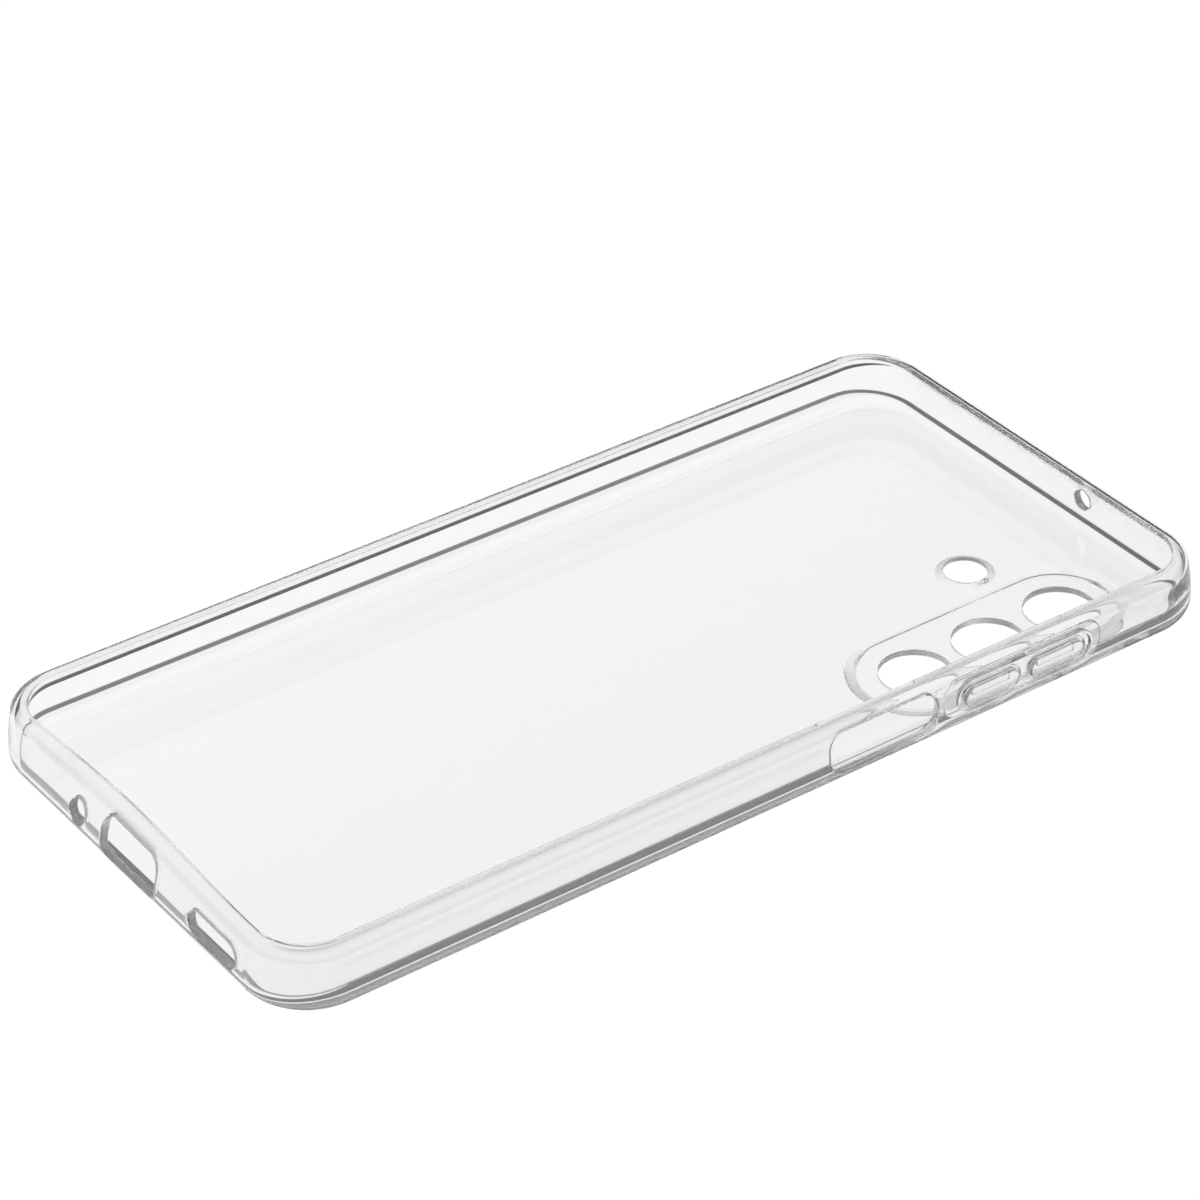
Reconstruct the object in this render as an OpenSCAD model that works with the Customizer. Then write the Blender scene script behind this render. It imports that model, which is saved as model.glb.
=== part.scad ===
// Slim clear phone case: a flexible tray that wraps the back and the four edges
// of a 6.7 inch phone, with a lip that hooks over the edge of the screen.
//
// Frame: +X is the side with the volume keys, +Y is the top of the phone, +Z
// points from the back of the phone to its screen. The origin is the centre of
// the case in X and Y, at the lowest face of the camera guard rim.
// Heights named *_z are measured up from the outer face of the back panel.

/* [Case] */
// Outer width of the case
case_w = 80.7; // [78:0.1:84]
// Outer length of the case
case_l = 167.2; // [164:0.1:171]
// Height from the back face to the top of the lip
case_h = 10.4; // [9.8:0.1:11.2]
// Outer radius of the corners seen from above
corner_r = 10.8; // [9:0.1:13]

/* [Walls] */
// Thickness of the back panel
panel_t = 1.2; // [1:0.05:1.5]
// Thickness of the side walls at mid height
wall_t = 1.35; // [1.1:0.05:1.6]
// Outer rounding between the back and the walls
edge_r = 3.0; // [2.4:0.1:3.4]
// Inner rounding between the back and the walls
fillet_r = 2.0; // [1.2:0.1:2.4]
// How far the walls lean inwards at the foot of the lip
wall_lean = 0.55; // [0.3:0.05:0.8]

/* [Lip] */
// Height of the lip that hooks over the screen edge
lip_h = 1.5; // [1.2:0.1:1.8]
// Reach of the lip from the outermost face
lip_reach = 3.2; // [2.6:0.1:3.8]
// Rounding of the inner edge of the lip
lip_edge_r = 0.4; // [0.2:0.05:0.5]

/* [Camera] */
// Centre of the lowest lens hole across the case
lens_x = 25.9; // [24:0.1:27]
// Centre of the lowest lens hole along the case
lens_y = 36.3; // [33:0.1:39]
// Distance between lens hole centres
lens_pitch = 14.05; // [13:0.05:15]
// Radius of a lens hole
lens_r = 5.6; // [5:0.05:6]
// Radius of the rounded ends of the camera deck
deck_r = 8.9; // [8:0.1:9.4]
// Thickness of the camera deck
deck_t = 0.9; // [0.7:0.05:1.2]
// Width of the guard rim around the deck
rim_w = 1.8; // [1.4:0.1:2]
// Height of the guard rim under the back face
rim_h = 0.8; // [0.5:0.05:1.2]
// Width of the foot of the guard rim, inside its sloping flank
rim_foot = 0.6; // [0.5:0.05:1]

/* [Flash] */
// Centre of the flash hole across the case
flash_x = 9.75; // [8:0.05:10]
// Centre of the flash hole along the case
flash_y = 59.4; // [56:0.1:62]
// Radius of the flash hole at the inner face
flash_r = 3.4; // [3:0.05:3.8]
// Radius of the flared mouth at the outer face
flash_mouth_r = 4.6; // [3.9:0.05:4.7]
// Outer radius of the collar around the flash hole
collar_r = 5.0; // [4.8:0.05:5.2]

/* [Bottom wall] */
// Width of the charging port slot
port_w = 14.0; // [12:0.1:15]
// Lower edge of the charging port slot
port_z0 = 1.7; // [1.5:0.1:3]
// Upper edge of the charging port slot
port_z1 = 8.5; // [8:0.1:8.7]
// Corner radius of the charging port slot
port_r = 2.2; // [1:0.1:3]
// Centre of the speaker slot across the case
speaker_x = 22.0; // [20:0.1:23]
// Width of the speaker slot
speaker_w = 11.8; // [10:0.1:13]
// Height of the speaker slot
speaker_h = 4.0; // [3:0.1:4.4]
// Centre of the microphone hole across the case
mic_x = -13.4; // [-16:0.1:-12]
// Radius of the microphone hole
mic_r = 1.9; // [1.2:0.1:2]
// Height of the centres of the speaker slot and the microphone holes
sound_z = 5.3; // [5:0.1:5.6]

/* [Top wall] */
// Centre of the second microphone hole across the case
top_mic_x = 10.3; // [6:0.1:14]
// Radius of the second microphone hole
top_mic_r = 1.6; // [1.2:0.1:2]

/* [Key side] */
// Centre of the side key opening along the case
side_key_y = 18.6; // [17:0.1:20]
// Length of the side key opening
side_key_l = 19.6; // [18:0.1:21]
// Lower edge of the openings in the key side
keys_z0 = 2.6; // [2.4:0.1:3]
// Upper edge of the openings in the key side
keys_z1 = 8.7; // [8.2:0.1:8.8]
// Corner radius of the side key opening
side_key_r = 2.4; // [1:0.1:2.8]
// Centre of the volume key frame along the case
volume_y = 44.9; // [44:0.1:46]
// Length of the volume key frame
volume_l = 26.2; // [25.6:0.1:27]
// Width of the bead that frames the volume keys
bead_w = 0.6; // [0.5:0.05:0.7]
// Length of one volume key pad
pad_l = 10.3; // [9:0.1:10.8]
// Height of one volume key pad
pad_h = 3.5; // [3:0.1:3.9]
// Distance between the centres of the two pads
pad_pitch = 12.4; // [12:0.1:12.6]
// Gap between a pad and the web around it
pad_gap = 0.25; // [0.2:0.01:0.3]
// Thickness of the web between the bead and the pads
web_t = 0.6; // [0.4:0.05:0.7]
// Depth of the web below the outermost face
web_inset = 0.5; // [0.4:0.05:0.6]
// Length of the nub behind a pad
nub_l = 7.0; // [5:0.1:8]
// Height of the nub behind a pad
nub_h = 1.6; // [1:0.1:2]
// Reach of the nub inwards from the back of the pad
nub_reach = 0.6; // [0.25:0.05:0.7]
// Depth of the pocket behind the volume keys
pocket_d = 0.3; // [0.2:0.05:0.4]
// Reach of the pocket past each end of the bead
pocket_end = 1.9; // [1:0.1:2.2]

/* [Hidden] */
$fn = 64;
cut = 0.5; // how far a cutter runs past the face it opens
arc_n = 8; // straight steps in a rounded edge of a wall section
tiny = 0.001; // a shorter straight stretch is left out

lip_z = case_h - lip_h;
foot_in = 4.0; // how far the wall sections reach in over the back
side_h = lip_z - edge_r;
side_r = (wall_lean * wall_lean + side_h * side_h) / (2 * wall_lean);
side_a = asin(side_h / side_r);
half_w = case_w / 2;
half_l = case_l / 2;
straight_x = half_w - corner_r;
straight_y = half_l - corner_r;

deck_mid_y = lens_y + lens_pitch;
deck_l = 2 * lens_pitch + 2 * deck_r;
deck_w = 2 * deck_r;

keys_h = keys_z1 - keys_z0;
keys_z = (keys_z0 + keys_z1) / 2;
pad_z = keys_z - 0.3; // the pads sit a little below the middle of the frame
volume_r = keys_h / 2;
pad_r = pad_h / 2;
web_x = half_w - web_inset - web_t;

clear_tint = [0.90, 0.93, 0.95, 0.45];
rim_tint = [0.80, 0.84, 0.88, 0.6];
key_tint = [0.72, 0.78, 0.84, 0.7];

// ---- outlines and sections ----

// Points along an arc in the plane of a wall section
function arc(cx, cz, r, a0, a1) =
    [for (i = [0 : arc_n]) let (a = a0 + (a1 - a0) * i / arc_n) [cx + r * cos(a), cz + r * sin(a)]];

// A section drawn as distance in from the outermost face, turned into distance
// from the centre line of the corner, where the corners are revolved
function from_corner(points) = [for (p = points) [corner_r - p[0], p[1]]];

// Wall without its lip: rounded foot, leaning outer face, upright inner face, inner fillet
wall_section = from_corner(concat(
    [[foot_in, 0]],
    arc(edge_r, edge_r, edge_r, 270, 180),
    arc(side_r, edge_r, side_r, 180, 180 - side_a),
    [[wall_t, lip_z]],
    arc(wall_t + fillet_r, panel_t + fillet_r, fillet_r, 180, 270),
    [[foot_in, panel_t]]
));

// Lip: rounded shoulder outside, flat top, small rounding at the inner edge
lip_section = from_corner(concat(
    arc(wall_lean + lip_h, lip_z, lip_h, 180, 90),
    arc(lip_reach - lip_edge_r, case_h - lip_edge_r, lip_edge_r, 90, 0),
    [[lip_reach, lip_z + lip_edge_r / 2], [lip_reach - lip_edge_r / 2, lip_z]]
));

// Guard rim: upright inner side, sloping outer flank, drawn from the centre line of the deck
rim_section = concat(
    [[deck_r, rim_h]],
    arc(deck_r + rim_h / 2, rim_h / 2, rim_h / 2, 180, 270),
    [[deck_r + rim_foot, 0], [deck_r + rim_w, rim_h]]
);

// Rectangle with rounded corners, centred; with r at half a side, that end is a half circle
module round_rect(w, l, r) {
    flat_x = w - 2 * r;
    flat_y = l - 2 * r;
    if (flat_y > tiny) square([w, flat_y], center = true);
    if (flat_x > tiny) square([flat_x, l], center = true);
    for (x = flat_x > tiny ? [-1, 1] : [0], y = flat_y > tiny ? [-1, 1] : [0])
        translate([x * flat_x / 2, y * flat_y / 2]) circle(r);
}

// ---- placing ----

// Lifts what is drawn from the back face onto the guard rim
module on_back() {
    translate([0, 0, rim_h]) children();
}

// A section drawn out along one wall: turn 0 is the right wall, 90 the top,
// 180 the left, 270 the bottom
module straight(section, turn, span, half) {
    on_back() rotate([0, 0, turn]) translate([half - corner_r, 0, 0])
        rotate([90, 0, 0]) linear_extrude(height = 2 * span, center = true)
            polygon(section);
}

// A section turned round one corner, where sx and sy give the side of the case
module corner(sx, sy) {
    turn = sx > 0 ? (sy > 0 ? 0 : 270) : (sy > 0 ? 90 : 180);
    on_back() translate([sx * straight_x, sy * straight_y, 0]) rotate([0, 0, turn]) {
        rotate_extrude(angle = 90) polygon(wall_section);
        rotate_extrude(angle = 90) polygon(lip_section);
    }
}

// A bar with a rounded outline, lying through the right wall from x0 to x1
module side_bar(x0, x1, y, z, l, h, r) {
    on_back() translate([x0, y, z]) rotate([90, 0, 90])
        linear_extrude(height = x1 - x0) round_rect(l, h, r);
}

// A bar with a rounded outline that cuts through the bottom wall
module bottom_cutter(x, z, w, h, r) {
    on_back() translate([x, -half_l - cut, z]) rotate([270, 0, 0])
        linear_extrude(height = foot_in + cut) round_rect(w, h, r);
}

// ---- back ----

module lens_holes() {
    for (i = [0 : 2])
        translate([lens_x, lens_y + i * lens_pitch, -cut])
            cylinder(r = lens_r, h = panel_t + 2 * cut);
}

module back_panel() {
    color(clear_tint) on_back() linear_extrude(height = panel_t) difference() {
        round_rect(case_w - 2 * foot_in, case_l - 2 * foot_in, corner_r - foot_in);
        translate([lens_x, deck_mid_y]) round_rect(deck_w, deck_l, deck_r);
        translate([flash_x, flash_y]) circle(collar_r);
    }
}

module camera_deck() {
    color(clear_tint) on_back() difference() {
        translate([lens_x, deck_mid_y, 0]) linear_extrude(height = deck_t)
            round_rect(deck_w, deck_l, deck_r);
        lens_holes();
    }
}

module camera_guard_rim() {
    color(rim_tint) translate([lens_x, deck_mid_y, 0]) for (end = [0, 180]) rotate([0, 0, end]) {
        rotate([90, 0, 0]) linear_extrude(height = 2 * lens_pitch, center = true)
            polygon(rim_section);
        translate([0, lens_pitch, 0]) rotate_extrude(angle = 180) polygon(rim_section);
    }
}

module flash_collar() {
    bevel_h = panel_t / 2;
    color(rim_tint) on_back() translate([flash_x, flash_y, 0]) difference() {
        cylinder(r = collar_r, h = panel_t);
        translate([0, 0, -cut]) cylinder(r = flash_r, h = panel_t + 2 * cut);
        cylinder(r1 = flash_mouth_r, r2 = flash_r, h = bevel_h);
    }
}

// ---- walls ----

module wall_left() {
    color(clear_tint) straight(wall_section, 180, straight_y, half_w);
}

module wall_right() {
    color(clear_tint) difference() {
        straight(wall_section, 0, straight_y, half_w);
        side_bar(half_w - foot_in, half_w + cut, side_key_y, keys_z, side_key_l, keys_h, side_key_r);
        side_bar(half_w - foot_in, half_w + cut, volume_y, keys_z, volume_l, keys_h, volume_r);
        side_bar(half_w - foot_in, half_w - wall_t + pocket_d, volume_y, keys_z,
                 volume_l + 2 * pocket_end, keys_h, side_key_r);
    }
}

module wall_top() {
    color(clear_tint) difference() {
        straight(wall_section, 90, straight_x, half_l);
        on_back() translate([top_mic_x, half_l + cut, sound_z]) rotate([90, 0, 0])
            cylinder(r = top_mic_r, h = foot_in + cut);
    }
}

module wall_bottom() {
    port_h = port_z1 - port_z0;
    color(clear_tint) difference() {
        straight(wall_section, 270, straight_x, half_l);
        bottom_cutter(0, port_z0 + port_h / 2, port_w, port_h, port_r);
        bottom_cutter(speaker_x, sound_z, speaker_w, speaker_h, speaker_h / 2);
        on_back() translate([mic_x, -half_l - cut, sound_z]) rotate([270, 0, 0])
            cylinder(r = mic_r, h = foot_in + cut);
    }
}

module corner_top_left() {
    color(rim_tint) corner(-1, 1);
}

module corner_top_right() {
    color(rim_tint) corner(1, 1);
}

module corner_bottom_left() {
    color(rim_tint) corner(-1, -1);
}

module corner_bottom_right() {
    color(rim_tint) corner(1, -1);
}

// ---- lip ----

module lip_left() {
    color(rim_tint) straight(lip_section, 180, straight_y, half_w);
}

module lip_right() {
    color(rim_tint) straight(lip_section, 0, straight_y, half_w);
}

module lip_top() {
    color(rim_tint) straight(lip_section, 90, straight_x, half_l);
}

module lip_bottom() {
    color(rim_tint) straight(lip_section, 270, straight_x, half_l);
}

// ---- volume keys ----

module volume_key_frame() {
    color(key_tint) difference() {
        side_bar(half_w - wall_t, half_w, volume_y, keys_z, volume_l, keys_h, volume_r);
        side_bar(half_w - wall_t - cut, half_w + cut, volume_y, keys_z,
                 volume_l - 2 * bead_w, keys_h - 2 * bead_w, volume_r - bead_w);
    }
}

module volume_key_web() {
    color(clear_tint) difference() {
        side_bar(web_x, web_x + web_t, volume_y, keys_z,
                 volume_l - 2 * bead_w, keys_h - 2 * bead_w, volume_r - bead_w);
        for (side = [-1, 1])
            side_bar(web_x - cut, half_w + cut, volume_y + side * pad_pitch / 2, pad_z,
                     pad_l + 2 * pad_gap, pad_h + 2 * pad_gap, pad_r + pad_gap);
    }
}

// Pad that a thumb presses, where side is 1 for up and -1 for down
module pad(side) {
    color(key_tint)
        side_bar(web_x, half_w, volume_y + side * pad_pitch / 2, pad_z, pad_l, pad_h, pad_r);
}

// Rib behind a pad that meets the key of the phone
module nub(side) {
    color(key_tint)
        side_bar(web_x - nub_reach, web_x, volume_y + side * pad_pitch / 2, pad_z, nub_l, nub_h, nub_h / 2);
}

module volume_up_pad() {
    pad(1);
}

module volume_up_nub() {
    nub(1);
}

module volume_down_pad() {
    pad(-1);
}

module volume_down_nub() {
    nub(-1);
}

back_panel();
camera_deck();
camera_guard_rim();
flash_collar();
wall_left();
wall_right();
wall_top();
wall_bottom();
corner_top_left();
corner_top_right();
corner_bottom_left();
corner_bottom_right();
lip_left();
lip_right();
lip_top();
lip_bottom();
volume_key_frame();
volume_key_web();
volume_up_pad();
volume_up_nub();
volume_down_pad();
volume_down_nub();
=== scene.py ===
"""Clear slim phone case, open side up on a white table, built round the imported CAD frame.

The CAD members of the moulding are replaced by one seamless clear shell, two key pads that ride on
their own bodies, and a thin skin round each pad that stretches between the shell and the pad.
Sizes are in millimetres until a mesh is made, which MM turns into metres.
"""

import math
from collections import namedtuple

import bmesh
import bpy
from mathutils import Matrix, Vector


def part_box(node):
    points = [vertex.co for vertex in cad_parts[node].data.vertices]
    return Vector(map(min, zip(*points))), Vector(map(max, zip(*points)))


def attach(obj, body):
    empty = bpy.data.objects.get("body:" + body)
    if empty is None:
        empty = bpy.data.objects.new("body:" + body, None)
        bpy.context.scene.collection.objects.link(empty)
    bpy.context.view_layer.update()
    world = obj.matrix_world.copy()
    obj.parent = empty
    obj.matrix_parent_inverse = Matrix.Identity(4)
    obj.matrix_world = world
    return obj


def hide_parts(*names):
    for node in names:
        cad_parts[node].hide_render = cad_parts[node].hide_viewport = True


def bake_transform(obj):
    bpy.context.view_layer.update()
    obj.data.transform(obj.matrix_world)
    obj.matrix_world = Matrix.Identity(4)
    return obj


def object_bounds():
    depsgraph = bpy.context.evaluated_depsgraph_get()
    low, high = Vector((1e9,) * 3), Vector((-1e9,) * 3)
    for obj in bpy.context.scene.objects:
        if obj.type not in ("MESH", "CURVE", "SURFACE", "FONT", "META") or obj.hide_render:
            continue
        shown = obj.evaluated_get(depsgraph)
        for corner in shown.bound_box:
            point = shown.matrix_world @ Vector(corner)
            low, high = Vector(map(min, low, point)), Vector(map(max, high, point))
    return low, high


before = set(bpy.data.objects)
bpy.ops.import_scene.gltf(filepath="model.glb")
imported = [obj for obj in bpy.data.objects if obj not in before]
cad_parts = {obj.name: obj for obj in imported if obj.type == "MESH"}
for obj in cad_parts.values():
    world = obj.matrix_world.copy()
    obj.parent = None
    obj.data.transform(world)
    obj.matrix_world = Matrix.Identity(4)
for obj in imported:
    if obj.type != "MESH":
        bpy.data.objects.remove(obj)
cad_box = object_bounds()

MM = 0.001

# ---- sizes of the case, read from the frame where a CAD node gives them ----


def node_mm(name):
    """Lowest and highest corner of a CAD node in millimetres."""
    low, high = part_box(name)
    return low / MM, high / MM


CASE_HIGH = cad_box[1] / MM
LIP_HIGH = node_mm("lip_left")[1]
PANEL_LOW, PANEL_HIGH = node_mm("back_panel")
DECK_LOW, DECK_HIGH = node_mm("camera_deck")
CORNER_LOW, CORNER_HIGH = node_mm("corner_top_right")
FLASH_LOW, FLASH_HIGH = node_mm("flash_collar")
BEAD_LOW, BEAD_HIGH = node_mm("volume_key_frame")
WEB_LOW, WEB_HIGH = node_mm("volume_key_web")

HALF_W = CASE_HIGH.x
HALF_L = CASE_HIGH.y
CORNER_R = CORNER_HIGH.x - CORNER_LOW.x
BACK_Z = PANEL_LOW.z  # outer face of the back, lifted by the guard rim
PANEL_T = PANEL_HIGH.z - PANEL_LOW.z
CASE_H = CASE_HIGH.z - BACK_Z
LIP_REACH = HALF_W + LIP_HIGH.x  # lip_left lies at negative x
WALL_T = 1.35
EDGE_R = 3.0  # round between the back and the outer sides
WALL_LEAN = 0.55  # how far the outer side comes in from that round up to the shoulder
FOOT_IN = 5.5  # how far in from the outermost face the section of a wall ends

# How each wall is rounded: inside at the foot, outside at the top and inside under the lip, then the lip
# thickness, how much of the outer face's lean the inner face follows, and the rounds of the lip's inner edge
Wall = namedtuple("Wall", "foot shoulder under lip lean edge low_edge")
RIGHT = Wall(3.3, 2.6, 1.5, 1.1, 0.0, 0.06, 0.06)
TOP = Wall(2.1, 2.6, 1.4, 1.2, 0.0, 0.2, 0.2)
LEFT = Wall(2.5, 1.6, 0.1, 1.65, 0.0, 0.06, 0.06)
BOTTOM = Wall(1.7, 1.5, 0.9, 1.4, 1.0, 0.5, 0.4)

# Back: camera recess with three lens holes, and the flash hole
DECK_X = (DECK_LOW.x + DECK_HIGH.x) / 2
DECK_Y = (DECK_LOW.y + DECK_HIGH.y) / 2
RECESS = 0.15  # depth of the camera recess in the inner face of the back
DECK_W = DECK_HIGH.x - DECK_LOW.x
DECK_L = DECK_HIGH.y - DECK_LOW.y
LENS_R = 5.6
LENS_PITCH = 14.05
LENS_EDGE_R = 0.2
FLASH_X = (FLASH_LOW.x + FLASH_HIGH.x) / 2
FLASH_Y = (FLASH_LOW.y + FLASH_HIGH.y) / 2
FLASH_R = 3.4
FLASH_MOUTH_R = 4.6
FLASH_EDGE_R = 0.15

# Guard rim under the back: how far out its crest and its outer edge lie, and how much further where it fades,
# the share of its height that is lost there, and the direction in which it fades, in degrees
RIM_CREST, RIM_CREST_MORE = 0.15, 1.2
RIM_W, RIM_W_MORE = 1.8, 1.6
RIM_LOSS = 0.92
RIM_FADES_AT = 150
RIM_ROOT = 0.3  # how far the ring reaches up into the back, where it is joined on

# Pit left where the moulding was cut off its feed: middle, half width and half length, then its
# (height above the inner face of the back, spread) levels
GATE_X, GATE_Y = 13.85, 59.3
GATE_W, GATE_L = 0.6, 1.45
GATE_LEVELS = ((0.4, 1.1), (-0.02, 1.0), (-0.7, 0.84), (-0.1, 0.62), (-0.75, 0.42), (-0.15, 0.2))

# Openings of the walls: middle, along the wall and above the outer face of the back, then width, height,
# corner radius and round of the edges
Opening = namedtuple("Opening", "x z w h r edge")
PORT = Opening(0.0, 5.1, 14.0, 6.8, 2.2, 0.3)
SPEAKER = Opening(22.0, 5.0, 11.8, 4.0, 2.0, 0.25)
MIC = Opening(-13.4, 4.95, 3.8, 3.8, 1.9, 0.2)
TOP_MIC = Opening(10.3, 5.3, 3.2, 3.2, 1.6, 0.2)

# Right wall: side key opening and the volume keys inside their bead
SIDE_KEY_Y, SIDE_KEY_L, SIDE_KEY_R, SIDE_KEY_EDGE_R = 18.6, 19.6, 2.4, 0.35
KEYS_Y = (BEAD_LOW.y + BEAD_HIGH.y) / 2
KEYS_Z = (BEAD_LOW.z + BEAD_HIGH.z) / 2 - BACK_Z
KEYS_L = BEAD_HIGH.y - BEAD_LOW.y
KEYS_H = BEAD_HIGH.z - BEAD_LOW.z
BEAD_W = 0.6
BEAD_EDGE_R = 0.3
BEAD_ROOT = 0.95  # how far in the bead is rooted in the wall
WEB_IN = HALF_W - WEB_HIGH.x  # outer face of the web, in from the outermost face of the wall
WEB_BACK = HALF_W - WEB_LOW.x  # its inner face
POCKET_IN, POCKET_END = 1.05, 1.9  # floor of the pocket behind the keys, and its length past the bead
POCKET_LOWER = 0.2  # how much lower the pocket is than the bead
PAD_GAP = 0.45  # gap round a pad that the skin crosses
HOLE_SPARE = 0.05  # how far past that gap the hole in the web reaches
PAD_EDGE_R = 0.35
PRESS = 0.4  # travel of a pad
RIB_RISE = 0.6  # how far up the rib behind a pad sits, as a share of the room above it
RIB_R = 0.25
SKIN_IN, SKIN_OUT = WEB_BACK - 0.05, WEB_BACK - 0.3  # inner and outer face of the skin at the web
SKIN_OVERLAP = 0.08  # how far past the gap the skin reaches, which takes it into the web
SKIN_TUCK = 0.03  # how far it reaches into the pad

# Bow of the soft wall at the port end: its middle and half length, how far it moves, how far from the end it
# starts and is complete, and the shares of the height between which it grows
BOW_X, BOW_SPAN = -6.0, 34.0
BOW_TOP = 1.3
BOW_STARTS, BOW_COMPLETE = 9, 3
BOW_FROM, BOW_TO = 0.3, 1.1

# How far a cutter that rounds an edge stands out of the face, and where its flare starts
CUT_OUT = 1.5
CUT_FLARE = 0.06

WELD = 1e-7  # metres: points of a new mesh that are this close become one


def ease(value, low, high):
    """0 below low, 1 above high, smooth between."""
    t = min(max((value - low) / (high - low), 0), 1)
    return t * t * (3 - 2 * t)


def arc(cu, cz, r, a0, a1, steps):
    """Points (inset, height) along an arc, angles in degrees."""
    angles = [math.radians(a0 + (a1 - a0) * i / steps) for i in range(steps + 1)]
    return [(cu + r * math.cos(a), cz + r * math.sin(a)) for a in angles]


def side_round(wall):
    """Height and radius of the gently curved outer side, from the edge of the back to the shoulder."""
    height = CASE_H - wall.shoulder - EDGE_R
    return height, (WALL_LEAN**2 + height**2) / (2 * WALL_LEAN)


def wall_section(wall):
    """The moulding's section from the outer face of the back, round the wall and lip, to the inner face."""
    height, side_r = side_round(wall)
    side_angle = math.degrees(math.asin(height / side_r))
    lip_z = CASE_H - wall.lip
    points = [(FOOT_IN, 0.0)]
    points += arc(EDGE_R, EDGE_R, EDGE_R, 270, 180, 16)
    points += arc(side_r, EDGE_R, side_r, 180, 180 - side_angle, 8)[1:]
    points += arc(WALL_LEAN + wall.shoulder, CASE_H - wall.shoulder, wall.shoulder, 180, 90, 14)[2:]
    points += arc(LIP_REACH - wall.edge, CASE_H - wall.edge, wall.edge, 90, 0, 8)
    points += arc(LIP_REACH - wall.low_edge, lip_z + wall.low_edge, wall.low_edge, 0, -90, 8)
    top, low = lip_z - wall.under, PANEL_T + wall.foot
    inner = arc(WALL_T + wall.under, top, wall.under, 90, 180, 12)
    inner += [(WALL_T, top + (low - top) * i / 8) for i in range(1, 8)]
    inner += arc(WALL_T + wall.foot, low, wall.foot, 180, 270, 16)
    points += [(inset + wall.lean * side_lean(wall, z), z) for inset, z in inner]
    points += [(FOOT_IN, PANEL_T)]
    return points


def between(wall, other, share):
    """The wall shape part of the way round a corner."""
    t = ease(share, 0, 1)
    return Wall(*[a + (b - a) * t for a, b in zip(wall, other)])


def arc_inset(rise, radius):
    """How far a quarter round has turned in, at a rise above its start."""
    return radius - math.sqrt(max(radius**2 - min(max(rise, 0), radius) ** 2, 0))


def side_lean(wall, z):
    """How far the gently curved outer side has come in at a height."""
    height, side_r = side_round(wall)
    return arc_inset(min(z - EDGE_R, height), side_r)


def outer_inset(wall, z):
    """How far the outer face of a wall lies in from the outermost face at a height."""
    turns = arc_inset(EDGE_R - z, EDGE_R) + arc_inset(z - CASE_H + wall.shoulder, wall.shoulder)
    return turns + side_lean(wall, z)


def inner_inset(wall, z):
    """How far the inner face of a wall lies in from the outermost face at a height."""
    turns = arc_inset(PANEL_T + wall.foot - z, wall.foot)
    turns += arc_inset(z - CASE_H + wall.lip + wall.under, wall.under)
    return WALL_T + turns + wall.lean * side_lean(wall, z)


# ---- mesh making ----


def solid(name, loops, closed_section=False):
    """A closed mesh through equal loops of points in millimetres, capped at both ends or joined up."""
    mesh = bpy.data.meshes.new(name)
    count = len(loops[0])
    points = [[c * MM for c in p] for loop in loops for p in loop]
    faces = []
    for i in range(len(loops) - (0 if closed_section else 1)):
        a, b = i * count, (i + 1) % len(loops) * count
        faces += [(a + j, a + (j + 1) % count, b + (j + 1) % count, b + j) for j in range(count)]
    if not closed_section:
        last = (len(loops) - 1) * count
        faces += [tuple(range(count))[::-1], tuple(range(last, last + count))]
    mesh.from_pydata(points, [], faces)
    piece = bpy.data.objects.new(name, mesh)
    bpy.context.scene.collection.objects.link(piece)
    edit = bmesh.new()
    edit.from_mesh(mesh)
    bmesh.ops.remove_doubles(edit, verts=edit.verts, dist=WELD)
    bmesh.ops.recalc_face_normals(edit, faces=edit.faces)
    edit.to_mesh(mesh)
    edit.free()
    return piece


def combine(piece, other, operation):
    """Cuts other out of piece, or joins it on, and removes other."""
    step = piece.modifiers.new(operation.lower(), "BOOLEAN")
    step.operation = operation
    step.object = other
    step.solver = "EXACT"
    graph = bpy.context.evaluated_depsgraph_get()
    made = bpy.data.meshes.new_from_object(piece.evaluated_get(graph))
    piece.modifiers.clear()
    old, piece.data = piece.data, made
    bpy.data.meshes.remove(old)
    tool = other.data
    bpy.data.objects.remove(other)
    bpy.data.meshes.remove(tool)


def round_outline(w, l, r, steps=12):
    """Points round a rectangle with rounded corners, centred, anticlockwise."""
    points = []
    for k, (sx, sy) in enumerate([(1, 1), (-1, 1), (-1, -1), (1, -1)]):
        cx, cy = sx * max(w / 2 - r, 0), sy * max(l / 2 - r, 0)
        for i in range(steps + 1):
            a = math.radians(90 * k + 90 * i / steps)
            points.append((cx + r * math.cos(a), cy + r * math.sin(a)))
    return points


def mouth(radius, steps=6, first=15):
    """(depth, growth) pairs that round the edge of a hole, from just outside the face inwards."""
    angles = [math.radians(first + (90 - first) * i / steps) for i in range(steps + 1)]
    edge = [(radius * (1 - math.cos(a)), radius * (1 - math.sin(a))) for a in angles]
    slope = math.tan(angles[0])
    start = (-CUT_FLARE, edge[0][1] + (edge[0][0] + CUT_FLARE) / slope)
    return [(-CUT_OUT, start[1]), start] + edge


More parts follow.
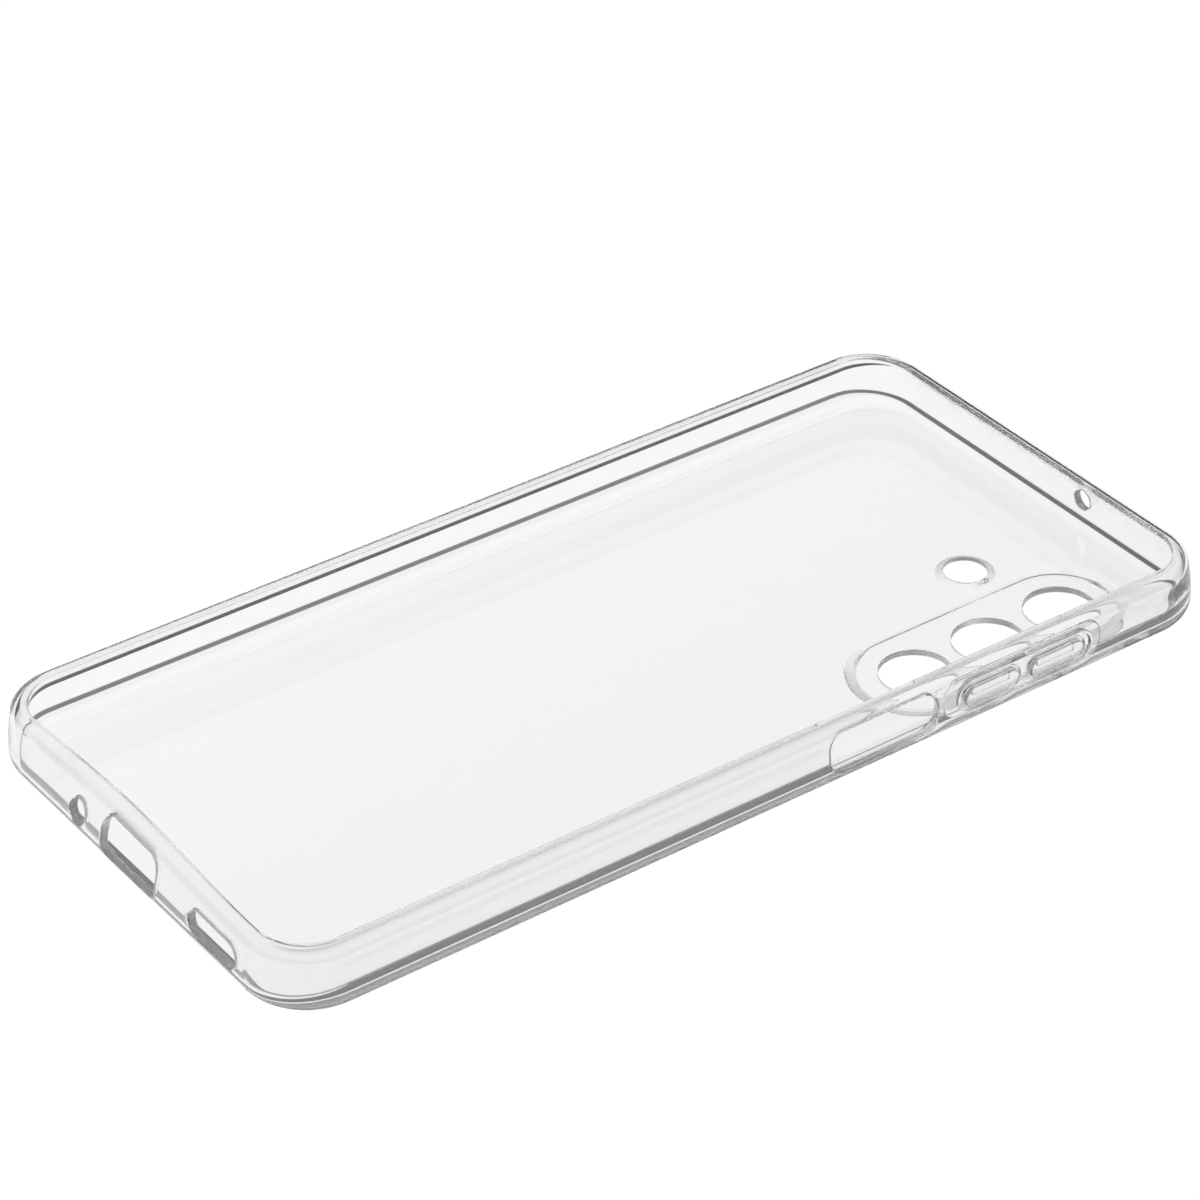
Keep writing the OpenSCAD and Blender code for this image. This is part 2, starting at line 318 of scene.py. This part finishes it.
def tray():
    """The bare moulding: back, walls, corners and lip, before any hole is cut."""
    corner_steps, long_steps, short_steps = 28, 30, 16
    cx, cy = HALF_W - CORNER_R, HALF_L - CORNER_R
    walls = (RIGHT, TOP, LEFT, BOTTOM)
    stations = []
    for k, (sx, sy) in enumerate([(1, 1), (-1, 1), (-1, -1), (1, -1)]):
        start, end = walls[k], walls[(k + 1) % 4]
        for i in range(corner_steps + 1):
            a = math.radians(90 * k + 90 * i / corner_steps)
            stations.append((sx * cx, sy * cy, a, wall_section(between(start, end, i / corner_steps))))
        steps = short_steps if k % 2 == 0 else long_steps
        nx, ny = [(-1, 1), (-1, -1), (1, -1), (1, 1)][k]
        for i in range(1, steps):
            t = i / steps
            x, y = sx * cx + (nx - sx) * cx * t, sy * cy + (ny - sy) * cy * t
            stations.append((x, y, math.radians(90 * (k + 1)), wall_section(end)))
    loops = []
    for row in range(len(wall_section(RIGHT))):
        loop = []
        for x, y, a, section in stations:
            inset, z = section[row]
            r = CORNER_R - inset
            loop.append((x + r * math.cos(a), y + r * math.sin(a), BACK_Z + z))
        loops.append(loop)
    return solid("case_shell", loops)


def soft_edge(radius, steps=5):
    """(depth, shrink) pairs that round the outer edge of a raised shape, from its face downwards."""
    angles = [math.radians(90 - 90 * i / steps) for i in range(steps + 1)]
    return [(radius * (1 - math.sin(a)), radius * (1 - math.cos(a))) for a in angles]


def floor_cut(name, x, y, w, l, r, levels):
    """A shape standing in the back, from (height, growth) levels."""
    loops = []
    for z, grow in levels:
        outline = round_outline(w + 2 * grow, l + 2 * grow, r + grow, 24)
        loops.append([(x + px, y + py, BACK_Z + z) for px, py in outline])
    return solid(name, loops)


def through_levels(low_edge, high_edge, top):
    """Levels of a hole through the back with rounded edges at both faces."""
    return mouth(low_edge) + [(top - depth, grow) for depth, grow in reversed(mouth(high_edge))]


def wall_hole(name, wall, place, opening):
    """A cutter through a wall. place(along, inset, z) gives the point for that wall."""
    centre, z, w, h, r, edge = opening
    levels = [(outer_inset, depth, grow) for depth, grow in mouth(edge)]
    levels += [(inner_inset, -depth, grow) for depth, grow in reversed(mouth(edge))]
    loops = []
    for face, offset, grow in levels:
        loop = []
        for px, pz in round_outline(w + 2 * grow, h + 2 * grow, r + grow, 14):
            height = z + pz
            loop.append(place(centre + px, face(wall, height) + offset, height))
        loops.append(loop)
    return solid(name, loops)


def on_right(along, inset, z):
    """The point at a distance along the right wall, an inset from its outermost face and a height."""
    return (HALF_W - inset, along, BACK_Z + z)


def on_bottom(along, inset, z):
    """The same for the bottom wall, at the port end."""
    return (along, inset - HALF_L, BACK_Z + z)


def on_top(along, inset, z):
    """The same for the top wall."""
    return (along, HALF_L - inset, BACK_Z + z)


def side_bar(name, y, z, l, h, r, levels, closed_section=False, steps=20):
    """A bar with a rounded outline lying across the right wall, from (inset, growth) levels."""
    loops = []
    for inset, grow in levels:
        outline = round_outline(l + 2 * grow, h + 2 * grow, r + grow, steps)
        loops.append([on_right(y + py, inset, z + pz) for py, pz in outline])
    return solid(name, loops, closed_section)


def guard_rim():
    """Ring under the back round the cameras. It fades out towards the far long side."""
    steps, arc_steps = 8, 32
    spacing = (DECK_L - DECK_W) / 2
    stations = []
    for k, sy in enumerate([1, 1, -1, -1]):
        for i in range(arc_steps + 1):
            a = math.radians(90 * k + 90 * i / arc_steps)
            fade = ease(math.cos(a - math.radians(RIM_FADES_AT)), 0, 1)
            stations.append((sy * spacing, a, fade))
    loops = []
    for row in range(2 * steps + 3):
        loop = []
        for y, a, fade in stations:
            crest, width = RIM_CREST + RIM_CREST_MORE * fade, RIM_W + RIM_W_MORE * fade
            height = BACK_Z * (1 - RIM_LOSS * fade)
            if row in (0, 2 * steps + 2):
                out, z = width if row else 0.0, RIM_ROOT
            else:
                t = (row - 1) / steps
                out = crest * t if t < 1 else crest + (width - crest) * (t - 1)
                z = -height * (t if t < 1 else 2 - t)
            r = DECK_W / 2 + out
            loop.append((DECK_X + r * math.cos(a), DECK_Y + y + r * math.sin(a), BACK_Z + z))
        loops.append(loop)
    return solid("guard_rim", loops, closed_section=True)


def gate_mark():
    """Cutter for the small ragged pit where the moulding was cut off its feed."""
    count = 40
    loops = []
    for height, spread in GATE_LEVELS:
        loop = []
        for i in range(count):
            a = math.radians(360 / count * i)
            ragged = 1 + 0.16 * math.sin(3 * a + 1) + 0.11 * math.sin(5 * a + 4 * spread)
            tilt = 0.06 * math.sin(a + 0.6)
            loop.append((GATE_X + GATE_W * spread * ragged * math.cos(a),
                         GATE_Y + GATE_L * spread * ragged * math.sin(a),
                         BACK_Z + PANEL_T + height + tilt))
        loops.append(loop)
    return solid("gate_mark", loops)


def cut_back(shell):
    """Camera recess, lens holes, the flared flash hole and the gate's pit."""
    floor = PANEL_T - RECESS
    recess = [(floor, -0.05), (floor + 0.04, 0.0), (PANEL_T - 0.04, 0.0), (PANEL_T + 0.01, 0.05),
              (PANEL_T + 0.8, 0.1)]
    combine(shell, floor_cut("recess", DECK_X, DECK_Y, DECK_W, DECK_L, DECK_W / 2, recess), "DIFFERENCE")
    for i in (-1, 0, 1):
        lens = floor_cut("lens", DECK_X, DECK_Y + i * LENS_PITCH, 2 * LENS_R, 2 * LENS_R, LENS_R,
                         through_levels(LENS_EDGE_R, LENS_EDGE_R, floor))
        combine(shell, lens, "DIFFERENCE")
    flare = FLASH_MOUTH_R - FLASH_R
    levels = [(-1.0, flare + 0.3), (-0.05, flare + 0.2), (0.05, flare), (PANEL_T / 2, 0.02),
              (PANEL_T / 2 + 0.05, 0.0)]
    levels += [(PANEL_T - depth, grow) for depth, grow in reversed(mouth(FLASH_EDGE_R))]
    flash = floor_cut("flash", FLASH_X, FLASH_Y, 2 * FLASH_R, 2 * FLASH_R, FLASH_R, levels)
    combine(shell, flash, "DIFFERENCE")
    combine(shell, gate_mark(), "DIFFERENCE")


def cut_walls(shell):
    """Side key opening, charging port, speaker slot and the two microphone holes."""
    side_key = Opening(SIDE_KEY_Y, KEYS_Z, SIDE_KEY_L, KEYS_H, SIDE_KEY_R, SIDE_KEY_EDGE_R)
    combine(shell, wall_hole("side_key", RIGHT, on_right, side_key), "DIFFERENCE")
    for wall, place, openings in ((BOTTOM, on_bottom, (PORT, SPEAKER, MIC)), (TOP, on_top, (TOP_MIC,))):
        for opening in openings:
            combine(shell, wall_hole("opening", wall, place, opening), "DIFFERENCE")


def pad_outline(side):
    """Middle and size of a pad: y, z, length, height, corner radius."""
    low, high = node_mm("volume_up_pad" if side > 0 else "volume_down_pad")
    l, h = high.y - low.y, high.z - low.z
    return (low.y + high.y) / 2, (low.z + high.z) / 2 - BACK_Z, l, h, h / 2


def build_keys_seat(shell):
    """Bead round the volume keys, the thin web inside it, the pocket behind and a hole for each pad."""
    r = KEYS_H / 2
    bead = [(depth, -shrink) for depth, shrink in soft_edge(BEAD_EDGE_R)] + [(BEAD_ROOT, 0.0)]
    combine(shell, side_bar("bead", KEYS_Y, KEYS_Z, KEYS_L, KEYS_H, r, bead), "UNION")
    sunk = [(-1.0, 0.25), (-0.02, 0.25), (0.05, 0.1), (0.2, 0.0), (WEB_IN - 0.1, 0.0),
            (WEB_IN - 0.03, -0.03), (WEB_IN, -0.1)]
    size = (KEYS_L - 2 * BEAD_W, KEYS_H - 2 * BEAD_W, r - BEAD_W)
    combine(shell, side_bar("sunk", KEYS_Y, KEYS_Z, *size, sunk), "DIFFERENCE")
    pocket = [(POCKET_IN, -0.15), (POCKET_IN + 0.03, -0.05), (POCKET_IN + 0.12, 0.0), (WALL_T - 0.05, 0.02),
              (WALL_T + 0.03, 0.1), (FOOT_IN, 0.1)]
    size = (KEYS_L + 2 * POCKET_END, KEYS_H - POCKET_LOWER, SIDE_KEY_R)
    combine(shell, side_bar("pocket", KEYS_Y, KEYS_Z, *size, pocket), "DIFFERENCE")
    for side in (-1, 1):
        y, z, l, h, pad_r = pad_outline(side)
        hole = [(WEB_IN - 0.4, PAD_GAP + HOLE_SPARE), (WEB_BACK + 0.6, PAD_GAP + HOLE_SPARE)]
        combine(shell, side_bar("pad_hole", y, z, l, h, pad_r, hole), "DIFFERENCE")


def relax(shell):
    """Bows the port end as a soft wall does: the lip leans in at the middle."""
    for vertex in shell.data.vertices:
        x, y, z = vertex.co / MM
        height = (z - BACK_Z) / CASE_H
        end = ease(-y, HALF_L - BOW_STARTS, HALF_L - BOW_COMPLETE)
        bow = end * (1 - ease(abs(x - BOW_X), 0, BOW_SPAN))
        vertex.co.y += BOW_TOP * ease(height, BOW_FROM, BOW_TO) * bow * MM


def make_shell():
    """The whole moulding but for the pads and the skins round them."""
    shell = tray()
    combine(shell, guard_rim(), "UNION")
    cut_back(shell)
    cut_walls(shell)
    build_keys_seat(shell)
    relax(shell)
    return shell


def make_pad(name, side):
    """Pad with its rib behind, from the rib's inner face out to the crowned outer face."""
    y, z, l, h, _ = pad_outline(side)
    low, high = node_mm(name.replace("pad", "nub"))
    rib_l, rib_h = high.y - low.y, high.z - low.z
    shrink_l, shrink_h = (l - rib_l) / 2, (h - rib_h) / 2
    loops = []
    # (inset, growth, whether it belongs to the rib)
    levels = [(HALF_W - low.x, -0.1, True), (HALF_W - low.x - 0.05, 0.0, True),
              (WEB_BACK - 0.02, 0.03, True), (WEB_BACK - 0.05, -0.1, False), (WEB_BACK - 0.15, 0.0, False)]
    levels += [(depth, -shrink, False) for depth, shrink in reversed(soft_edge(PAD_EDGE_R, 7))]
    for inset, grow, rib in levels:
        length = l + 2 * grow - (2 * shrink_l if rib else 0)
        height = h + 2 * grow - (2 * shrink_h if rib else 0)
        outline = round_outline(length, height, RIB_R if rib else height / 2, 20)
        rise = RIB_RISE * shrink_h if rib else 0
        loops.append([on_right(y + py, inset, z + rise + pz) for py, pz in outline])
    return solid(name + "_moulded", loops)


def make_skin(name, side):
    """Thin cone between the web and the pad. Its way out from the web is the way the pad travels."""
    y, z, l, h, r = pad_outline(side)
    shell_side = PAD_GAP + SKIN_OVERLAP
    ring = [(SKIN_IN, shell_side), (SKIN_OUT, shell_side),
            (SKIN_OUT - PRESS, -SKIN_TUCK), (SKIN_IN - PRESS, -SKIN_TUCK)]
    return side_bar(name, y, z, l, h, r, ring, closed_section=True)


# ---- material ----

MATT = 0.6  # roughness of the guard rim, the flare and the cut faces
SATIN = 0.12  # roughness of the middle of the back
SATIN_IN = 6.5  # how far in from the outermost face the satin middle of the back starts
RIM_BELOW = 0.2  # what lies this far below the back belongs to the guard rim
ON_OUTLINE = 0.03  # how far outside a hole's outline a point still counts as part of its cut face
CLEARANCE = 0.02  # how far the height limits of the matt places stay off the faces that they follow
END_STRETCH = 5  # length of the last stretch of the case, which holds the openings of an end wall
TPU_ABSORPTION = 3.0  # per metre: only light that travels along inside the moulding loses much


def math_node(nodes, links, operation, *values):
    """A Math node over sockets or plain numbers."""
    node = nodes.new("ShaderNodeMath")
    node.operation = operation
    for slot, value in zip(node.inputs, values):
        if isinstance(value, (int, float)):
            slot.default_value = value
        else:
            links.new(value, slot)
    return node.outputs[0]


def outline_distance(nodes, links, place, x, y, half_w, half_l, r, axes="XY"):
    """Distance in metres from the outline of a rounded rectangle in millimetres, positive outside."""
    split = nodes.new("ShaderNodeSeparateXYZ")
    links.new(place, split.inputs[0])
    sides = []
    for axis, middle, half in ((axes[0], x, half_w), (axes[1], y, half_l)):
        shifted = math_node(nodes, links, "SUBTRACT", split.outputs[axis], middle * MM)
        away = math_node(nodes, links, "ABSOLUTE", shifted)
        sides.append(math_node(nodes, links, "SUBTRACT", away, (half - r) * MM))
    inside = math_node(nodes, links, "MINIMUM", math_node(nodes, links, "MAXIMUM", *sides), 0.0)
    squares = []
    for side in sides:
        outer = math_node(nodes, links, "MAXIMUM", side, 0.0)
        squares.append(math_node(nodes, links, "MULTIPLY", outer, outer))
    reach = math_node(nodes, links, "SQRT", math_node(nodes, links, "ADD", *squares))
    total = math_node(nodes, links, "ADD", reach, inside)
    return math_node(nodes, links, "SUBTRACT", total, r * MM)


def matt_places(nodes, links, place):
    """Roughness of the matt faces: guard rim, flash flare, cut faces and, slightly, the back."""
    split = nodes.new("ShaderNodeSeparateXYZ")
    links.new(place, split.inputs[0])
    found = math_node(nodes, links, "LESS_THAN", split.outputs["Z"], (BACK_Z - RIM_BELOW) * MM)
    flare_top = PANEL_T / 2 + CLEARANCE
    outlines = [("XY", FLASH_X, FLASH_Y, FLASH_MOUTH_R, FLASH_MOUTH_R, FLASH_MOUTH_R, flare_top)]
    outlines += [("XY", DECK_X, DECK_Y + i * LENS_PITCH, LENS_R, LENS_R, LENS_R, PANEL_T - CLEARANCE)
                 for i in (-1, 0, 1)]
    for side, openings in ((-1, (PORT, SPEAKER, MIC)), (1, (TOP_MIC,))):
        for x, z, w, h, r, _ in openings:
            outlines.append(("XZ", x, BACK_Z + z, w / 2, h / 2, r, side))
    for axes, x, y, half_w, half_l, r, limit in outlines:
        away = outline_distance(nodes, links, place, x, y, half_w, half_l, r, axes)
        near = math_node(nodes, links, "LESS_THAN", away, ON_OUTLINE * MM)
        if axes == "XZ":
            out = math_node(nodes, links, "MULTIPLY", split.outputs["Y"], limit)
            end = math_node(nodes, links, "GREATER_THAN", out, (HALF_L - END_STRETCH) * MM)
        else:
            end = math_node(nodes, links, "LESS_THAN", split.outputs["Z"], (BACK_Z + limit) * MM)
        found = math_node(nodes, links, "MAXIMUM", found, math_node(nodes, links, "MULTIPLY", near, end))
    matt = math_node(nodes, links, "MULTIPLY", found, MATT)
    away = outline_distance(nodes, links, place, 0, 0, HALF_W, HALF_L, CORNER_R)
    middle = math_node(nodes, links, "LESS_THAN", away, -SATIN_IN * MM)
    low = math_node(nodes, links, "LESS_THAN", split.outputs["Z"], (BACK_Z + PANEL_T + CLEARANCE) * MM)
    satin = math_node(nodes, links, "MULTIPLY", math_node(nodes, links, "MULTIPLY", middle, low), SATIN)
    return math_node(nodes, links, "MAXIMUM", matt, satin)


def clear_tpu(name):
    """Clear rubbery plastic: faint flow marks in its gloss, matt places and a barely uneven face."""
    material = bpy.data.materials.new(name)
    material.use_nodes = True
    nodes, links = material.node_tree.nodes, material.node_tree.links
    shader = nodes["Principled BSDF"]
    shader.inputs["Base Color"].default_value = (0.985, 0.99, 0.99, 1)
    shader.inputs["IOR"].default_value = 1.5
    shader.inputs["Transmission Weight"].default_value = 0.96
    place = nodes.new("ShaderNodeTexCoord").outputs["Object"]
    flow = nodes.new("ShaderNodeTexNoise")
    flow.inputs["Scale"].default_value = 90
    flow.inputs["Detail"].default_value = 3
    links.new(place, flow.inputs["Vector"])
    gloss = nodes.new("ShaderNodeMapRange")
    gloss.inputs["From Min"].default_value = 0.35
    gloss.inputs["From Max"].default_value = 0.7
    gloss.inputs["To Min"].default_value = 0.0
    gloss.inputs["To Max"].default_value = 0.02
    links.new(flow.outputs["Fac"], gloss.inputs["Value"])
    roughness = math_node(nodes, links, "MAXIMUM", gloss.outputs["Result"], matt_places(nodes, links, place))
    links.new(roughness, shader.inputs["Roughness"])
    wave = nodes.new("ShaderNodeTexNoise")
    wave.inputs["Scale"].default_value = 140
    wave.inputs["Detail"].default_value = 1
    links.new(place, wave.inputs["Vector"])
    bump = nodes.new("ShaderNodeBump")
    bump.inputs["Strength"].default_value = 0.05
    bump.inputs["Distance"].default_value = 0.0003
    links.new(wave.outputs["Fac"], bump.inputs["Height"])
    links.new(bump.outputs["Normal"], shader.inputs["Normal"])
    depth = nodes.new("ShaderNodeVolumeAbsorption")
    depth.inputs["Color"].default_value = (0.0, 0.02, 0.02, 1)
    depth.inputs["Density"].default_value = TPU_ABSORPTION
    links.new(depth.outputs["Volume"], nodes["Material Output"].inputs["Volume"])
    return material


def smooth(piece, sharp_deg=35):
    """Smooth shading with sharp edges kept, its normals weighed by the areas of the faces."""
    mesh = piece.data
    edit = bmesh.new()
    edit.from_mesh(mesh)
    limit = math.radians(sharp_deg)
    for face in edit.faces:
        face.smooth = True
    for edge in edit.edges:
        edge.smooth = not (edge.is_manifold and edge.calc_face_angle() > limit)
    edit.to_mesh(mesh)
    edit.free()
    weigh = piece.modifiers.new("even_normals", "WEIGHTED_NORMAL")
    weigh.mode = "FACE_AREA"
    weigh.weight = 50
    weigh.keep_sharp = True


shell = make_shell()
smooth(shell)
shell.data.materials.clear()
shell.data.materials.append(clear_tpu("clear_tpu"))
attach(shell, "case")
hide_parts(*[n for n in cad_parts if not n.endswith(("_pad", "_nub"))])

key_tpu = clear_tpu("clear_tpu_keys")
for name, side in (("volume_up", 1), ("volume_down", -1)):
    pad = make_pad(name + "_pad", side)
    smooth(pad)
    pad.data.materials.append(key_tpu)
    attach(pad, name)
    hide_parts(name + "_pad", name + "_nub")
    skin = make_skin(name + "_skin", side)
    smooth(skin)
    skin.data.materials.append(key_tpu)
    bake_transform(skin)

# ---- stage ----

FLOOR_SIZE = 6.0  # metres from the middle of the table to its edge
FLOOR_DROP = 0.2  # millimetres between the table and the crest of the guard rim
FLOOR_SEEN = 1.02  # light of the table where the camera sees it directly
FLOOR_LIGHT = 0.965  # its light for all other rays, in the middle
FLOOR_FALL = -0.6  # mean change of that light per metre across the table, from left to right
FLOOR_RAMP = 0.3  # metres to either side over which it changes
SKY_TOP = 0.85
SKY_LOW = 0.05
SKY_FROM, SKY_TO = 0.4, 0.56  # the light comes up between these heights, 0 at the horizon and 1 overhead
BOUNCES = 64  # a ray through the clear walls crosses many faces

# Shadow ring of the walls, painted on the table: centre, half sides and corner of its outer and inner outline
SHADOW_OUTER = (-2.3, 2.35, 43.05, 84.35, 11.0)
SHADOW_INNER = (-3.5, 2.4, 40.55, 82.7, 9.0)
SHADOW_SOFT = 0.25
SHADOW_DEPTH = 0.84  # share of the light that the ring takes away


def soft_step(nodes, links, value, low, high, start, end):
    """A smooth change from start to end as value goes from low to high."""
    node = nodes.new("ShaderNodeMapRange")
    node.interpolation_type = "SMOOTHSTEP"
    node.inputs["From Min"].default_value = low
    node.inputs["From Max"].default_value = high
    node.inputs["To Min"].default_value = start
    node.inputs["To Max"].default_value = end
    links.new(value, node.inputs["Value"])
    return node.outputs["Result"]


def make_floor():
    """White table, plain to the camera's own rays. All others, as through the case, see the painted shadow
    ring of the walls.
    """
    mesh = bpy.data.meshes.new("floor")
    s = FLOOR_SIZE
    mesh.from_pydata([(-s, -s, 0), (s, -s, 0), (s, s, 0), (-s, s, 0)], [], [(0, 1, 2, 3)])
    floor = bpy.data.objects.new("floor", mesh)
    bpy.context.scene.collection.objects.link(floor)
    floor.location.z = -FLOOR_DROP * MM
    material = bpy.data.materials.new("floor")
    material.use_nodes = True
    nodes, links = material.node_tree.nodes, material.node_tree.links
    nodes.clear()
    out = nodes.new("ShaderNodeOutputMaterial")
    glow = nodes.new("ShaderNodeEmission")
    place = nodes.new("ShaderNodeTexCoord").outputs["Object"]
    soft = SHADOW_SOFT * MM
    outer = outline_distance(nodes, links, place, *SHADOW_OUTER)
    inner = outline_distance(nodes, links, place, *SHADOW_INNER)
    within = soft_step(nodes, links, outer, -soft, soft, SHADOW_DEPTH, 0.0)
    beyond = soft_step(nodes, links, inner, -soft, soft, 0.0, 1.0)
    shade = math_node(nodes, links, "MULTIPLY", within, beyond)
    lit = math_node(nodes, links, "SUBTRACT", 1.0, shade)
    split = nodes.new("ShaderNodeSeparateXYZ")
    links.new(place, split.inputs[0])
    level = soft_step(nodes, links, split.outputs["X"], -FLOOR_RAMP, FLOOR_RAMP,
                      FLOOR_LIGHT - FLOOR_RAMP * FLOOR_FALL, FLOOR_LIGHT + FLOOR_RAMP * FLOOR_FALL)
    level = math_node(nodes, links, "MULTIPLY", level, lit)
    path = nodes.new("ShaderNodeLightPath").outputs["Is Camera Ray"]
    choose = nodes.new("ShaderNodeMix")
    links.new(path, choose.inputs["Factor"])
    links.new(level, choose.inputs["A"])
    choose.inputs["B"].default_value = FLOOR_SEEN
    links.new(choose.outputs["Result"], glow.inputs["Strength"])
    links.new(glow.outputs["Emission"], out.inputs["Surface"])
    mesh.materials.append(material)


def make_sky():
    """Soft light from above, with a dark room at the horizon."""
    world = bpy.data.worlds.new("studio")
    bpy.context.scene.world = world
    world.use_nodes = True
    nodes, links = world.node_tree.nodes, world.node_tree.links
    coords = nodes.new("ShaderNodeTexCoord")
    split = nodes.new("ShaderNodeSeparateXYZ")
    links.new(coords.outputs["Generated"], split.inputs["Vector"])
    level = soft_step(nodes, links, split.outputs["Z"], SKY_FROM, SKY_TO, SKY_LOW, SKY_TOP)
    sky = nodes["Background"]
    sky.inputs["Color"].default_value = (1, 1, 1, 1)
    links.new(level, sky.inputs["Strength"])


make_floor()
make_sky()
bpy.context.scene.view_settings.view_transform = "Standard"
cycles = bpy.context.scene.cycles
cycles.max_bounces = BOUNCES
cycles.transmission_bounces = BOUNCES
cycles.glossy_bounces = BOUNCES

# ---- camera ----

AZ, EL, ROLL = math.radians(53.86), math.radians(34.38), math.radians(-0.17)
TARGET_X, TARGET_Y = -18.19, 10.77  # the point of the back that the camera looks at
DISTANCE = 0.6664  # metres from there to the camera
FOCAL_LENGTH, SENSOR_W = 131.85, 36
back = Vector((math.sin(AZ) * math.cos(EL), -math.cos(AZ) * math.cos(EL), math.sin(EL)))
right = Vector((math.cos(AZ), math.sin(AZ), 0))
up = back.cross(right)
turn = Matrix((right, up, back)).transposed().to_4x4() @ Matrix.Rotation(ROLL, 4, "Z")
target = Vector((TARGET_X, TARGET_Y, BACK_Z)) * MM
camera_data = bpy.data.cameras.new("camera")
camera = bpy.data.objects.new("camera", camera_data)
bpy.context.scene.collection.objects.link(camera)
camera.matrix_world = Matrix.Translation(target + back * DISTANCE) @ turn
camera_data.lens = FOCAL_LENGTH
camera_data.sensor_width = SENSOR_W
camera_data.clip_start = 0.05
camera_data.clip_end = 20
bpy.context.scene.camera = camera
